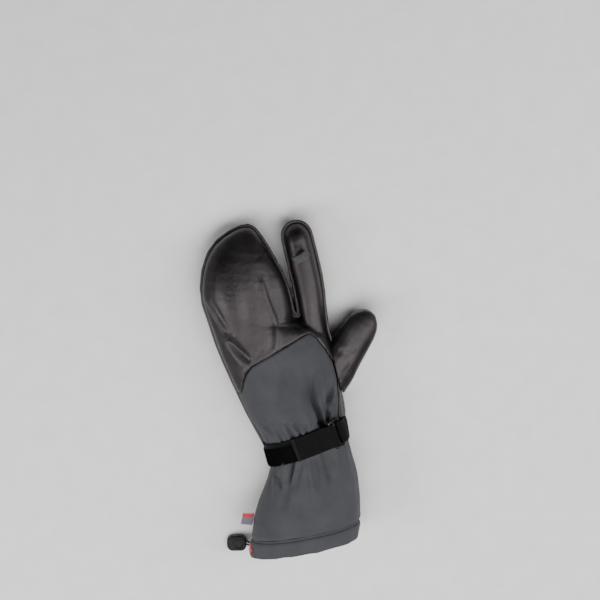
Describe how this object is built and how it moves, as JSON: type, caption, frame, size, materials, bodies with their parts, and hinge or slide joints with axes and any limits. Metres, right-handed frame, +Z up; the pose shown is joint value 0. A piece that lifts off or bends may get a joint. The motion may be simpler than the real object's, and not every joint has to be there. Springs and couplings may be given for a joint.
{
  "type": "split finger mitten",
  "caption": "Left-hand winter mitten with a broad finger compartment, a separate index finger and thumb, a wrist strap and a long drawcord cuff.",
  "frame": {"origin": "on the surface that the mitten rests on, under the middle of its outline", "axes": "+Z up out of the back of the hand, +Y towards the fingertips, +X towards the thumb"},
  "size_m": [0.1864, 0.363, 0.0755],
  "materials": {
    "leather": "smooth semi-gloss, softly wrinkled",
    "softshell": "matt stretch woven",
    "loop_webbing": "fuzzy brushed loops",
    "strap_webbing": "smooth flat webbing",
    "ring_metal": "dark gunmetal gloss",
    "grey_webbing": "ribbed webbing",
    "toggle_plastic": "moulded, fine texture",
    "cord": "braided cord",
    "eyelet_metal": "bright nickel",
    "red_label": "flat woven label",
    "tag_fabric": "satin woven tag"
  },
  "bodies": {
    "mitten": {"back_leather": "leather", "palm_leather": "leather", "thumb_leather": "leather", "outseam_welt": "leather", "softshell_gauntlet": "softshell", "hem_channel": "softshell", "strap_loop_webbing": "loop_webbing", "strap_tab": "strap_webbing", "strap_anchor": "strap_webbing", "strap_ring": "ring_metal", "hang_loop": "grey_webbing", "cord_lock_body": "toggle_plastic", "draw_cord_front": "cord", "draw_cord_rear": "cord", "cord_eyelet": "eyelet_metal", "arrow_label": "red_label", "side_tag": "tag_fabric"},
    "button": {"cord_lock_button": "toggle_plastic"}
  },
  "joints": [
    {"name": "button_press", "type": "slide", "parent": "mitten", "child": "button", "axis": [0, 0, -1], "range_m": [0, 0.0015], "stiffness_N_per_m": 1200}
  ]
}
